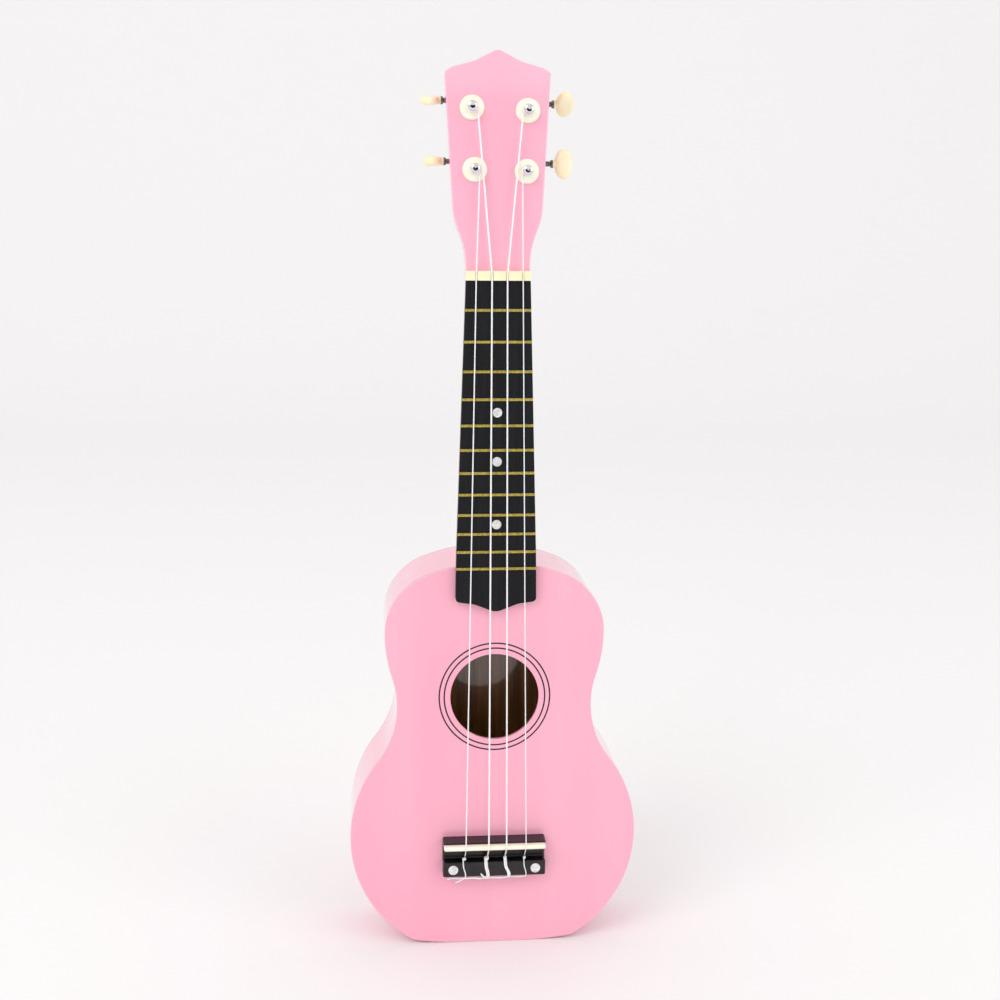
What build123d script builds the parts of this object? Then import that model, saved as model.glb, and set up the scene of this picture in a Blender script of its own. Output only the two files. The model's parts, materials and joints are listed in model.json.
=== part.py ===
"""A soprano ukulele that stands on the end of its body: hollow plywood body, screwed-on neck and four geared tuners.

Millimetres. X is to the right as seen from the front, +Y goes from the soundboard to the back and Z runs up the
neck. The origin is the bottom centre of the whole instrument's box.
"""

import os
from math import asin, atan2, cos, hypot, pi, radians, sin, sqrt, tan

from build123d import *

# ---------------------------------------------------------------- driving dimensions
SCALE_LENGTH = 345.0  # zero line at the nut to the saddle
ZERO_Z = 413.9  # height of that zero line
BODY_DEPTH = 55.4
SADDLE_STAND = 13.3  # saddle in front of the soundboard
STRING_GAP = 0.03  # between a string and what it rests on

# One row for each string, from the left: name, gauge, place at the nut, place at the saddle.
STRINGS = (("g", 0.75, -12.9, -18.0), ("c", 1.00, -3.8, -4.0), ("e", 0.95, 5.1, 6.9), ("a", 0.65, 14.1, 18.9))
# One row for the tuner of each string: place across and up the headstock, turn of the button.
TUNERS = ((-13.4, 60.4, 85.0), (-14.9, 95.2, 78.0), (17.2, 93.8, -52.0), (16.6, 59.6, 0.0))

THICKEST_STRING = max(gauge for name, gauge, at_nut, at_saddle in STRINGS)
FRONT_Y = -(BODY_DEPTH - SADDLE_STAND - STRING_GAP - THICKEST_STRING) / 2  # face of the soundboard

# Body outline: a flat to stand on, then tangent arcs up to the neck. Angles are measured from straight down.
END_FLAT = 20.0
END_RADIUS, END_ANGLE = 178.0, 0.150
CORNER_RADIUS, CORNER_ANGLE = 14.2, 0.577
LOWER_RADIUS, LOWER_ANGLE = 79.3, 2.230
WAIST_RADIUS, WAIST_ANGLE = 58.7, 1.256
FLANK_RADIUS, FLANK_ANGLE = 86.2, 1.579
UPPER_RADIUS = 38.7
TOP_RADIUS = 114.5

PLATE_THICKNESS = 2.5  # soundboard and back
SIDE_THICKNESS = 2.2
LINING_THICKNESS, LINING_HEIGHT = 4.5, 9.0
EDGE_ROUND = 0.8
NECK_BLOCK_HALF, NECK_BLOCK_Z = 22.0, 222.0
TAIL_BLOCK_HALF, TAIL_BLOCK_Z = 26.0, 14.0
BRACE_WIDTH, BRACE_HEIGHT = 6.0, 8.0
TOP_BRACES = {"upper_top_brace": 203.0, "lower_top_brace": 118.0}
BACK_BRACES = {"upper_back_brace": 190.0, "lower_back_brace": 80.0}

HOLE_Z, HOLE_RADIUS = 160.4, 27.0
RING_RADII = (30.7, 33.75)
RING_WIDTH, RING_DEPTH = 0.9, 0.5

NECK_HALF_AT_NUT, NECK_TAPER = 18.7, 0.0315
NECK_DEPTH_AT_NUT, NECK_DEPTH_AT_BODY = 14.0, 16.0
NECK_SIDE = 3.0  # straight side of the neck below the fingerboard
HEEL_DEPTH, HEEL_FOOT_Z, HEEL_TOP_Z = 45.0, 249.0, 298.0
FINGERBOARD_THICKNESS = 4.4
FINGERBOARD_HALF_AT_END = 24.2
FRET_COUNT = 12
FRET_WIDTH, FRET_HEIGHT = 2.0, 0.9
TANG_WIDTH, TANG_DEPTH = 0.6, 1.8
MARKER_FRETS = (5, 7, 10)
MARKER_RADIUS, MARKER_THICKNESS = 2.8, 1.2

NUT_Z, NUT_TOP_Z = 411.5, 417.0
NUT_STAND = FINGERBOARD_THICKNESS + 1.8
STRING_AT_NUT = FINGERBOARD_THICKNESS + 1.5  # middle of the strings
HEAD_TILT = radians(5.0)  # the headstock leans back
HEAD_STEP = 1.0  # headstock face in front of the soundboard at the zero line
HEAD_THICKNESS = 13.0
LEDGE_ROUND = 9.0  # where the back of the headstock runs out into the neck
POST_HOLE_RADIUS = 4.2

NECK_SCREW_DEPTH, NECK_SCREW_RADIUS, NECK_SCREW_TIP_Z = 20.0, 2.5, 262.0

BRIDGE_HALF, BRIDGE_LOW_Z, BRIDGE_HIGH_Z = 31.7, 47.0, 70.7
TIE_BLOCK_Z, TIE_BLOCK_STAND = 57.0, 8.0
TIE_HOLE_STAND, TIE_HOLE_RADIUS = 3.6, 0.7
SADDLE_Z, SADDLE_THICKNESS, SADDLE_SLOT_STAND = 67.7, 3.0, 4.5
DOT_X, DOT_Z, DOT_RADIUS = 25.4, 52.0, 3.0
BRIDGE_SCREW_RADIUS = 1.3

GEAR_TEETH, GEAR_TIP, GEAR_ROOT, GEAR_FACE = 14, 4.7, 3.4, 2.6
WORM_PITCH = 1.885  # along the worm, for a pitch radius of 4.2 mm on the gear
WORM_TIP, WORM_ROOT, WORM_TURNS = 2.8, 1.6, 5
WORM_Y, WORM_Z = 6.5, 3.75  # worm axis up the headstock from the post, and behind the headstock
TUNER_PLATE = 0.8
LUG_INSIDE = 5.2
SHAFT_RADIUS, POST_RADIUS, WAIST_OF_POST, JOURNAL_RADIUS = 1.5, 2.9, 2.4, 2.2
RUNNING_CLEARANCE = 0.06
WINDING_STAND, WINDING_HEIGHT = 3.4, 2.4  # start above the headstock face
BUTTON_START, BUTTON_LENGTH, BUTTON_WIDTH, BUTTON_THICKNESS = 18.0, 10.7, 17.5, 5.6
STRING_END_GAP = 0.4  # from a string's end to its winding

os.makedirs("parts", exist_ok=True)


def save(part, name):
    """Labels a finished piece and writes it as its own file."""
    part.label = name
    export_step(part, f"parts/{name}.step")


def behind(depth):
    """The XZ plane at a depth behind the soundboard's face. Its normal points to the front."""
    return Plane.XZ.offset(-(FRONT_Y + depth))


def from_down(angle):
    """Unit vector at an angle from straight down, turning towards +X."""
    return Vector(sin(angle), -cos(angle))


# ---------------------------------------------------------------- outline of the body
end_centre = Vector(END_FLAT, END_RADIUS)
corner_centre = end_centre + from_down(END_ANGLE) * (END_RADIUS - CORNER_RADIUS)
lower_centre = corner_centre + from_down(CORNER_ANGLE) * (CORNER_RADIUS - LOWER_RADIUS)
waist_centre = lower_centre + from_down(LOWER_ANGLE) * (LOWER_RADIUS + WAIST_RADIUS)
flank_centre = waist_centre - from_down(WAIST_ANGLE) * (WAIST_RADIUS + FLANK_RADIUS)
upper_centre = flank_centre + from_down(FLANK_ANGLE) * (FLANK_RADIUS - UPPER_RADIUS)
top_centre = Vector(0, upper_centre.Y - sqrt((TOP_RADIUS - UPPER_RADIUS) ** 2 - upper_centre.X**2))
shoulder = upper_centre - top_centre
SHOULDER_ANGLE = atan2(shoulder.X, -shoulder.Y)
BODY_TOP_Z = top_centre.Y + TOP_RADIUS


def body_face(inset=0.0):
    """The body's outline, moved in by inset, as a flat face."""
    turns = [
        (end_centre, END_RADIUS - inset, 0, END_ANGLE),
        (corner_centre, CORNER_RADIUS - inset, END_ANGLE, CORNER_ANGLE),
        (lower_centre, LOWER_RADIUS - inset, CORNER_ANGLE, LOWER_ANGLE),
        (waist_centre, -WAIST_RADIUS - inset, LOWER_ANGLE, WAIST_ANGLE),
        (flank_centre, FLANK_RADIUS - inset, WAIST_ANGLE, FLANK_ANGLE),
        (upper_centre, UPPER_RADIUS - inset, FLANK_ANGLE, SHOULDER_ANGLE),
        (top_centre, TOP_RADIUS - inset, SHOULDER_ANGLE, pi),
    ]
    with BuildSketch() as face:
        with BuildLine():
            Line((0, inset), (END_FLAT, inset))
            for centre, radius, start, end in turns:
                ThreePointArc(*[centre + from_down(a) * radius for a in (start, (start + end) / 2, end)])
            mirror(about=Plane.YZ)
        make_face()
    return face.sketch


outer_face = body_face()
inner_face = body_face(SIDE_THICKNESS)
lining_face = body_face(SIDE_THICKNESS + LINING_THICKNESS)
INSIDE_BACK = BODY_DEPTH - PLATE_THICKNESS


# ---------------------------------------------------------------- body
def plate(front, back_rounded=False):
    """A soundboard or back: the whole outline, with its outward edge rounded."""
    with BuildPart() as board:
        with BuildSketch(behind(front)):
            add(outer_face)
        extrude(amount=-PLATE_THICKNESS)
        outward = board.faces().sort_by(Axis.Y)[-1 if back_rounded else 0]
        fillet(outward.outer_wire().edges(), EDGE_ROUND)
    return board.part


with BuildPart() as soundboard:
    add(plate(0))
    with BuildSketch(behind(0)):
        with Locations((0, HOLE_Z)):
            Circle(HOLE_RADIUS)
        with Locations((-DOT_X, DOT_Z), (DOT_X, DOT_Z)):
            Circle(BRIDGE_SCREW_RADIUS)
    extrude(amount=-PLATE_THICKNESS, mode=Mode.SUBTRACT)
    with BuildSketch(behind(0)):
        with Locations((0, HOLE_Z)):
            for radius in sorted(RING_RADII, reverse=True):
                Circle(radius + RING_WIDTH / 2)
                Circle(radius - RING_WIDTH / 2, mode=Mode.SUBTRACT)
    extrude(amount=-RING_DEPTH, mode=Mode.SUBTRACT)
save(soundboard.part, "soundboard")

with BuildPart() as rosette_rings:
    with BuildSketch(behind(0)):
        with Locations((0, HOLE_Z)):
            for radius in sorted(RING_RADII, reverse=True):
                Circle(radius + RING_WIDTH / 2)
                Circle(radius - RING_WIDTH / 2, mode=Mode.SUBTRACT)
    extrude(amount=-RING_DEPTH)
save(rosette_rings.part, "rosette_rings")

save(plate(INSIDE_BACK, back_rounded=True), "back_plate")

for name, kept in (("left_side", Keep.BOTTOM), ("right_side", Keep.TOP)):
    with BuildPart() as side:
        with BuildSketch(behind(PLATE_THICKNESS)):
            add(outer_face)
            add(inner_face, mode=Mode.SUBTRACT)
        extrude(amount=PLATE_THICKNESS - INSIDE_BACK)
        split(bisect_by=Plane.YZ, keep=kept)
        with BuildSketch(Plane.XY.offset(NECK_BLOCK_Z)):
            with Locations((0, FRONT_Y + NECK_SCREW_DEPTH)):
                Circle(NECK_SCREW_RADIUS)
        extrude(amount=NECK_SCREW_TIP_Z - NECK_BLOCK_Z, mode=Mode.SUBTRACT)
    save(side.part, name)


def inside_the_sides(half, low, high, front, back, face=None):
    """A block between two heights and two depths that fits the inside of the sides or of the linings."""
    with BuildPart() as block:
        with BuildSketch(behind(front)):
            with Locations((0, (low + high) / 2)):
                Rectangle(2 * half, high - low)
            add(face or inner_face, mode=Mode.INTERSECT)
        extrude(amount=front - back)
    return block.part


WIDER_THAN_BODY = 100.0
with BuildPart() as neck_block:
    add(inside_the_sides(NECK_BLOCK_HALF, NECK_BLOCK_Z, BODY_TOP_Z, PLATE_THICKNESS, INSIDE_BACK))
    with BuildSketch(Plane.XY.offset(NECK_BLOCK_Z)):
        with Locations((0, FRONT_Y + NECK_SCREW_DEPTH)):
            Circle(NECK_SCREW_RADIUS)
    extrude(amount=BODY_TOP_Z - NECK_BLOCK_Z, mode=Mode.SUBTRACT)
save(neck_block.part, "neck_block")

tail_block = inside_the_sides(TAIL_BLOCK_HALF, 0, TAIL_BLOCK_Z, PLATE_THICKNESS, INSIDE_BACK)
save(tail_block, "tail_block")

for name, front in (("front_lining", PLATE_THICKNESS), ("back_lining", INSIDE_BACK - LINING_HEIGHT)):
    with BuildPart() as lining:
        with BuildSketch(behind(front)):
            add(inner_face)
            add(lining_face, mode=Mode.SUBTRACT)
            with Locations((0, (NECK_BLOCK_Z + BODY_TOP_Z) / 2)):
                Rectangle(2 * NECK_BLOCK_HALF, BODY_TOP_Z - NECK_BLOCK_Z, mode=Mode.SUBTRACT)
            with Locations((0, TAIL_BLOCK_Z / 2)):
                Rectangle(2 * TAIL_BLOCK_HALF, TAIL_BLOCK_Z, mode=Mode.SUBTRACT)
        extrude(amount=-LINING_HEIGHT)
    save(lining.part, name)

for braces, front in ((TOP_BRACES, PLATE_THICKNESS), (BACK_BRACES, INSIDE_BACK - BRACE_HEIGHT)):
    for name, middle in braces.items():
        low, high = middle - BRACE_WIDTH / 2, middle + BRACE_WIDTH / 2
        save(inside_the_sides(WIDER_THAN_BODY, low, high, front, front + BRACE_HEIGHT, lining_face), name)

with BuildPart() as bridge_plate:
    with BuildSketch(behind(PLATE_THICKNESS)):
        with Locations((0, (BRIDGE_LOW_Z + BRIDGE_HIGH_Z) / 2)):
            RectangleRounded(2 * BRIDGE_HALF + 6, BRIDGE_HIGH_Z - BRIDGE_LOW_Z + 6, 3)
        with Locations((-DOT_X, DOT_Z), (DOT_X, DOT_Z)):
            Circle(BRIDGE_SCREW_RADIUS, mode=Mode.SUBTRACT)
    extrude(amount=-2.0)
save(bridge_plate.part, "bridge_plate")

# ---------------------------------------------------------------- planes of the headstock
head_up = Vector(0, sin(HEAD_TILT), cos(HEAD_TILT))
head_back = Vector(0, cos(HEAD_TILT), -sin(HEAD_TILT))
head_origin = Vector(0, FRONT_Y - HEAD_STEP, ZERO_Z)
head_face = Plane(origin=head_origin, x_dir=(1, 0, 0), z_dir=-head_back)


def tuner_plane(x, up):
    """On the headstock's back at a post: x towards the button of a left-hand tuner, y up, z backwards."""
    origin = head_origin + Vector(-abs(x), 0, 0) + head_up * up + head_back * HEAD_THICKNESS
    return Plane(origin=origin, x_dir=(-1, 0, 0), z_dir=head_back)


TUNER_SCREWS = ((0, -8.6), (0, 15.2))
TUNER_SCREW_RADIUS, TUNER_SCREW_LENGTH = 1.1, 8.0


def neck_half(z):
    """Half the width of the neck and the fingerboard at a height."""
    return NECK_HALF_AT_NUT + NECK_TAPER * (NUT_Z - z)


# ---------------------------------------------------------------- neck
def neck_section(z, half, depth):
    """Flat front, short straight sides and an elliptical back."""
    with BuildSketch(Plane.XY.offset(z)) as section:
        with BuildLine():
            side_y = FRONT_Y + NECK_SIDE
            Line((-half, side_y), (-half, FRONT_Y))
            Line((-half, FRONT_Y), (half, FRONT_Y))
            Line((half, FRONT_Y), (half, side_y))
            EllipticalCenterArc((0, side_y), half, depth - NECK_SIDE, start_angle=0, arc_size=180)
        make_face()
    return section.sketch


ROOT_LOW, FLARE_START, FLARE_RADIUS, FLARE_ANGLE = -4.0, 6.0, 50.0, 23.5
CHEEK_RADIUS, CHEEK_ANGLE, CHEEK_TOP = 40.0, 3.3, 115.2
with BuildPart() as headstock:
    with BuildSketch(head_face):
        with BuildLine():
            root = Line((NECK_HALF_AT_NUT, ROOT_LOW), (NECK_HALF_AT_NUT, FLARE_START))
            flare = JernArc(root @ 1, (0, 1), FLARE_RADIUS, -FLARE_ANGLE)
            cheek = JernArc(flare @ 1, flare % 1, CHEEK_RADIUS, FLARE_ANGLE - CHEEK_ANGLE)
            mirror(about=Plane.YZ)
            rise = CHEEK_TOP - (cheek @ 1).Y
            corner = (cheek @ 1) + Vector(rise * tan(radians(CHEEK_ANGLE)), rise)
            right = [cheek @ 1, corner, Vector(26.0, 118.0), Vector(13.5, 121.4)]
            left = [Vector(-p.X, p.Y) for p in reversed(right)]
            FilletPolyline(*right, (0, 128.3), *left, radius=(1.5, 2, 28, 5, 28, 2, 1.5))
            Line(root @ 0, (-NECK_HALF_AT_NUT, ROOT_LOW))
        make_face()
    extrude(amount=-HEAD_THICKNESS)
    ledge = headstock.edges().filter_by(Axis.X).sort_by(Axis.Z)[0]
    fillet(ledge, LEDGE_ROUND)
    rim = headstock.edges().filter_by(lambda e: e.center().Z > NUT_TOP_Z + 2)
    fillet(rim.filter_by(lambda e: abs((e @ 0 - e @ 1).dot(head_back)) < 0.01), EDGE_ROUND)

HEEL_CURVE = 2.4  # how hard the heel sweeps back towards the body
with BuildPart() as heel:
    for step in (0, 0.2, 0.4, 0.6, 0.8, 1):
        z = HEEL_TOP_Z + (HEEL_FOOT_Z - HEEL_TOP_Z) * step
        add(neck_section(z, neck_half(z), NECK_DEPTH_AT_BODY + (HEEL_DEPTH - NECK_DEPTH_AT_BODY) * step**HEEL_CURVE))
    loft()
    add(neck_section(HEEL_FOOT_Z, neck_half(HEEL_FOOT_Z), HEEL_DEPTH))
    extrude(amount=NECK_BLOCK_Z - HEEL_FOOT_Z)

with BuildPart() as neck:
    volute_z, end_z = 404.0, 436.0
    add(neck_section(HEEL_TOP_Z, neck_half(HEEL_TOP_Z), NECK_DEPTH_AT_BODY))
    add(neck_section(volute_z, neck_half(volute_z), NECK_DEPTH_AT_NUT))
    loft()
    add(neck_section(volute_z, neck_half(volute_z), NECK_DEPTH_AT_NUT))
    add(neck_section(end_z, NECK_HALF_AT_NUT - 0.4, NECK_DEPTH_AT_NUT - 5))
    loft()
    add(heel.part)
    with BuildSketch(head_face):
        Rectangle(100, 120)
    extrude(amount=40, mode=Mode.SUBTRACT)
    add(headstock.part)
    with Locations((0, FRONT_Y, NUT_TOP_Z)):
        Box(80, 20, 40, align=(Align.CENTER, Align.MAX, Align.MAX), mode=Mode.SUBTRACT)
    with BuildSketch(behind(0)):
        add(outer_face)
    extrude(amount=-BODY_DEPTH, mode=Mode.SUBTRACT)
    with BuildSketch(Plane.XY.offset(NECK_BLOCK_Z)):
        with Locations((0, FRONT_Y + NECK_SCREW_DEPTH)):
            Circle(NECK_SCREW_RADIUS)
    extrude(amount=NECK_SCREW_TIP_Z - NECK_BLOCK_Z, mode=Mode.SUBTRACT)
    with BuildSketch(head_face):
        with Locations(*[(x, up) for x, up, turn in TUNERS]):
            Circle(POST_HOLE_RADIUS)
    extrude(amount=-HEAD_THICKNESS, mode=Mode.SUBTRACT)
    with BuildSketch(Plane(origin=head_origin + head_back * HEAD_THICKNESS, x_dir=(1, 0, 0), z_dir=-head_back)):
        for x, up, turn in TUNERS:
            with Locations(*[(x, up + y) for _, y in TUNER_SCREWS]):
                Circle(TUNER_SCREW_RADIUS)
    extrude(amount=TUNER_SCREW_LENGTH, mode=Mode.SUBTRACT)
save(neck.part, "neck")

with BuildPart() as neck_screw:
    with BuildSketch(Plane.XY.offset(NECK_BLOCK_Z)):
        with Locations((0, FRONT_Y + NECK_SCREW_DEPTH)):
            Circle(NECK_SCREW_RADIUS)
    extrude(amount=NECK_SCREW_TIP_Z - NECK_BLOCK_Z)
    with Locations((0, FRONT_Y + NECK_SCREW_DEPTH, NECK_BLOCK_Z)):
        Cylinder(5.0, 2.6, align=(Align.CENTER, Align.CENTER, Align.MAX))
save(neck_screw.part, "neck_screw")


def fret_z(number):
    """Height of a fret, by the rule of equal semitones."""
    return ZERO_Z - SCALE_LENGTH * (1 - 2 ** (-number / 12))


fret_heights = [fret_z(n) for n in range(1, FRET_COUNT + 1)]
marker_spots = [(0, (fret_z(n) + fret_z(n - 1)) / 2) for n in MARKER_FRETS]

with BuildPart() as fingerboard:
    with BuildSketch(behind(0)):
        with BuildLine():
            half = FINGERBOARD_HALF_AT_END
            right = ((NECK_HALF_AT_NUT, NUT_Z), (neck_half(250), 250), (half, 221.2), (13, 219.7))
            left = [(-x, z) for x, z in reversed(right)]
            FilletPolyline(*right, (0, 214.6), *left, radius=(200, 2.5, 14, 9, 14, 2.5, 200))
            Line((-NECK_HALF_AT_NUT, NUT_Z), (NECK_HALF_AT_NUT, NUT_Z))
        make_face()
    extrude(amount=FINGERBOARD_THICKNESS)
    with BuildSketch(behind(-FINGERBOARD_THICKNESS)):
        with Locations(*[(0, z) for z in fret_heights]):
            Rectangle(4 * NECK_HALF_AT_NUT, TANG_WIDTH)
    extrude(amount=-TANG_DEPTH, mode=Mode.SUBTRACT)
    with BuildSketch(behind(-FINGERBOARD_THICKNESS)):
        with Locations(*marker_spots):
            Circle(MARKER_RADIUS)
    extrude(amount=-MARKER_THICKNESS, mode=Mode.SUBTRACT)
save(fingerboard.part, "fingerboard")

with BuildPart() as frets:
    for z in fret_heights:
        half = neck_half(z) - 0.1
        with BuildSketch(Plane.YZ.offset(-half)):
            with BuildLine():
                top_y = FRONT_Y - FINGERBOARD_THICKNESS
                low, high = (top_y, z - FRET_WIDTH / 2), (top_y, z + FRET_WIDTH / 2)
                ThreePointArc(low, (top_y - FRET_HEIGHT, z), high)
                Line(high, low)
            make_face()
            with Locations((top_y, z)):
                Rectangle(TANG_DEPTH, TANG_WIDTH, align=(Align.MIN, Align.CENTER))
        extrude(amount=2 * half)
save(frets.part, "frets")

with BuildPart() as fret_markers:
    with BuildSketch(behind(-FINGERBOARD_THICKNESS)):
        with Locations(*marker_spots):
            Circle(MARKER_RADIUS)
    extrude(amount=-MARKER_THICKNESS)
save(fret_markers.part, "fret_markers")

with BuildPart() as nut:
    with BuildSketch(behind(0)):
        with Locations((0, (NUT_Z + NUT_TOP_Z) / 2)):
            Rectangle(2 * NECK_HALF_AT_NUT, NUT_TOP_Z - NUT_Z)
    extrude(amount=NUT_STAND)
    fillet(nut.edges().filter_by(Axis.X).sort_by(Axis.Z).sort_by(Axis.Y)[0:1], 0.5)
    for name, gauge, at_nut, at_saddle in STRINGS:
        floor = STRING_AT_NUT - gauge / 2 - 0.28
        with Locations((at_nut, FRONT_Y - floor, (NUT_Z + NUT_TOP_Z) / 2)):
            slot = (gauge + 0.7, 10, 2 * (NUT_TOP_Z - NUT_Z))
            Box(*slot, align=(Align.CENTER, Align.MAX, Align.CENTER), mode=Mode.SUBTRACT)
save(nut.part, "nut")

# ---------------------------------------------------------------- bridge
SADDLE_SEAT = 9.5
with BuildPart() as bridge:
    with BuildSketch(Plane.YZ.offset(-BRIDGE_HALF)):
        with BuildLine():
            stands = [
                (0, BRIDGE_LOW_Z),
                (TIE_BLOCK_STAND, BRIDGE_LOW_Z),
                (TIE_BLOCK_STAND, TIE_BLOCK_Z),
                (2.2, TIE_BLOCK_Z),
                (2.2, 64.4),
                (SADDLE_SEAT, 64.4),
                (SADDLE_SEAT, 70.2),
                (0, BRIDGE_HIGH_Z),
            ]
            points = [(FRONT_Y - stand, z) for stand, z in stands]
            FilletPolyline(*points, radius=(1.5, 0.8, 1.2, 1.2, 0.4, 0.4))
            Line((FRONT_Y, BRIDGE_HIGH_Z), (FRONT_Y, BRIDGE_LOW_Z))
        make_face()
    extrude(amount=2 * BRIDGE_HALF)
    ends = bridge.edges().filter_by(Axis.Y).group_by(Axis.X)
    fillet(ends[0] + ends[-1], 1.2)
    with Locations((0, FRONT_Y - SADDLE_SLOT_STAND, SADDLE_Z)):
        Box(80, 20, SADDLE_THICKNESS, align=(Align.CENTER, Align.MAX, Align.CENTER), mode=Mode.SUBTRACT)
    with BuildSketch(Plane.XY.offset(BRIDGE_LOW_Z - 1)):
        with Locations(*[(at_saddle, FRONT_Y - TIE_HOLE_STAND) for name, gauge, at_nut, at_saddle in STRINGS]):
            Circle(TIE_HOLE_RADIUS)
    extrude(amount=14, mode=Mode.SUBTRACT)
    with BuildSketch(behind(0)):
        with Locations((-DOT_X, DOT_Z), (DOT_X, DOT_Z)):
            Circle(BRIDGE_SCREW_RADIUS)
    extrude(amount=20, mode=Mode.SUBTRACT)
    with BuildSketch(behind(-5.0)):
        with Locations((-DOT_X, DOT_Z), (DOT_X, DOT_Z)):
            Circle(DOT_RADIUS)
    extrude(amount=20, mode=Mode.SUBTRACT)
save(bridge.part, "bridge")

with BuildPart() as saddle:
    saddle_half = BRIDGE_HALF - 0.4
    with BuildSketch(Plane.YZ.offset(-saddle_half)):
        with BuildLine():
            low_z, high_z = SADDLE_Z - SADDLE_THICKNESS / 2, SADDLE_Z + SADDLE_THICKNESS / 2
            round_y = FRONT_Y - SADDLE_STAND + SADDLE_THICKNESS / 2
            seat_y = FRONT_Y - SADDLE_SLOT_STAND
            Polyline((round_y, low_z), (seat_y, low_z), (seat_y, high_z), (round_y, high_z))
            ThreePointArc((round_y, low_z), (FRONT_Y - SADDLE_STAND, SADDLE_Z), (round_y, high_z))
        make_face()
    extrude(amount=2 * saddle_half)
    fillet(saddle.edges().filter_by(Axis.Y), 1.2)
save(saddle.part, "saddle")

with BuildPart() as bridge_screws:
    with BuildSketch(behind(-5.0)):
        with Locations((-DOT_X, DOT_Z), (DOT_X, DOT_Z)):
            Circle(2.7)
    extrude(amount=1.8)
    with BuildSketch(behind(PLATE_THICKNESS + 3.5)):
        with Locations((-DOT_X, DOT_Z), (DOT_X, DOT_Z)):
            Circle(BRIDGE_SCREW_RADIUS)
    extrude(amount=PLATE_THICKNESS + 3.5 + 5.0)
save(bridge_screws.part, "bridge_screws")

with BuildPart() as bridge_dots:
    with BuildSketch(behind(-6.8)):
        with Locations((-DOT_X, DOT_Z), (DOT_X, DOT_Z)):
            Circle(DOT_RADIUS)
    extrude(amount=1.5)
    fillet(bridge_dots.faces().group_by(Axis.Y)[0].edges(), 0.25)
save(bridge_dots.part, "bridge_dots")

# ---------------------------------------------------------------- tuners, made at the origin in a tuner's own frame
# x goes out to the button, y up the headstock and z backwards from the headstock's back, with the post on z.
WORM_AXIS = Plane(origin=(0, WORM_Y, WORM_Z), x_dir=(0, 1, 0), z_dir=(1, 0, 0))
FACE_Z = -HEAD_THICKNESS
POST_TIP_Z = FACE_Z - 8.2


def turned(outline, plane=Plane.XZ):
    """A solid of revolution about the plane's y axis from its half outline, as (radius, place) points."""
    with BuildPart() as solid:
        with BuildSketch(plane):
            with BuildLine():
                Polyline(*outline, close=True)
            make_face()
        revolve(axis=Axis(plane.origin, plane.y_dir))
    return solid.part


with BuildPart() as tuner_plate:
    with BuildSketch():
        with Locations((0, 3.3)):
            RectangleRounded(12.0, 30.0, 3.0)
        Circle(JOURNAL_RADIUS + RUNNING_CLEARANCE, mode=Mode.SUBTRACT)
        with Locations(*TUNER_SCREWS):
            Circle(TUNER_SCREW_RADIUS, mode=Mode.SUBTRACT)
    extrude(amount=TUNER_PLATE)
    for lug_x in (-LUG_INSIDE - TUNER_PLATE, LUG_INSIDE):
        with BuildSketch(Plane.YZ.offset(lug_x)):
            with Locations((WORM_Y, WORM_Z)):
                SlotCenterToCenter(0.02, 6.4)
            with Locations((WORM_Y, (TUNER_PLATE + WORM_Z) / 2)):
                Rectangle(6.4, WORM_Z - TUNER_PLATE)
            with Locations((WORM_Y, WORM_Z)):
                Circle(SHAFT_RADIUS + RUNNING_CLEARANCE, mode=Mode.SUBTRACT)
            with Locations((WORM_Y, 0)):
                Rectangle(10, 2 * TUNER_PLATE, mode=Mode.SUBTRACT)
        extrude(amount=TUNER_PLATE)

with BuildPart() as worm_thread:
    length = WORM_PITCH * WORM_TURNS
    with BuildLine():
        helix = Helix(WORM_PITCH, length, WORM_ROOT, center=(0, 0, -length / 2))
    with BuildSketch(Plane(origin=helix @ 0, x_dir=(1, 0, 0), z_dir=helix % 0)):
        height = WORM_TIP - WORM_ROOT
        Polygon((-0.3, -0.45), (height, -0.15), (height, 0.15), (-0.3, 0.45), align=None)
    sweep(is_frenet=True)

LUG_OUTSIDE = LUG_INSIDE + TUNER_PLATE
END_PLAY = 0.12
with BuildPart() as worm_shaft:
    add(
        turned(
            [
                (0, -7.6),
                (1.9, -7.6),
                (2.1, -7.2),
                (2.1, -LUG_OUTSIDE - END_PLAY),
                (SHAFT_RADIUS, -LUG_OUTSIDE - END_PLAY),
                (SHAFT_RADIUS, -LUG_INSIDE + END_PLAY),
                (WORM_ROOT, -LUG_INSIDE + END_PLAY),
                (WORM_ROOT, LUG_INSIDE - END_PLAY),
                (SHAFT_RADIUS, LUG_INSIDE - END_PLAY),
                (SHAFT_RADIUS, LUG_OUTSIDE + END_PLAY),
                (2.2, LUG_OUTSIDE + END_PLAY),
                (2.2, 7.6),
                (SHAFT_RADIUS, 8.2),
                (SHAFT_RADIUS, 15.4),
                (2.3, 15.9),
                (2.3, BUTTON_START - 1.0),
                (SHAFT_RADIUS, BUTTON_START - 1.0),
                (SHAFT_RADIUS, BUTTON_START + 5.5),
                (0, BUTTON_START + 5.5),
            ],
            Plane(origin=(0, 0, 0), x_dir=(1, 0, 0), z_dir=(0, -1, 0)),
        )
    )
    add(worm_thread.part)

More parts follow.
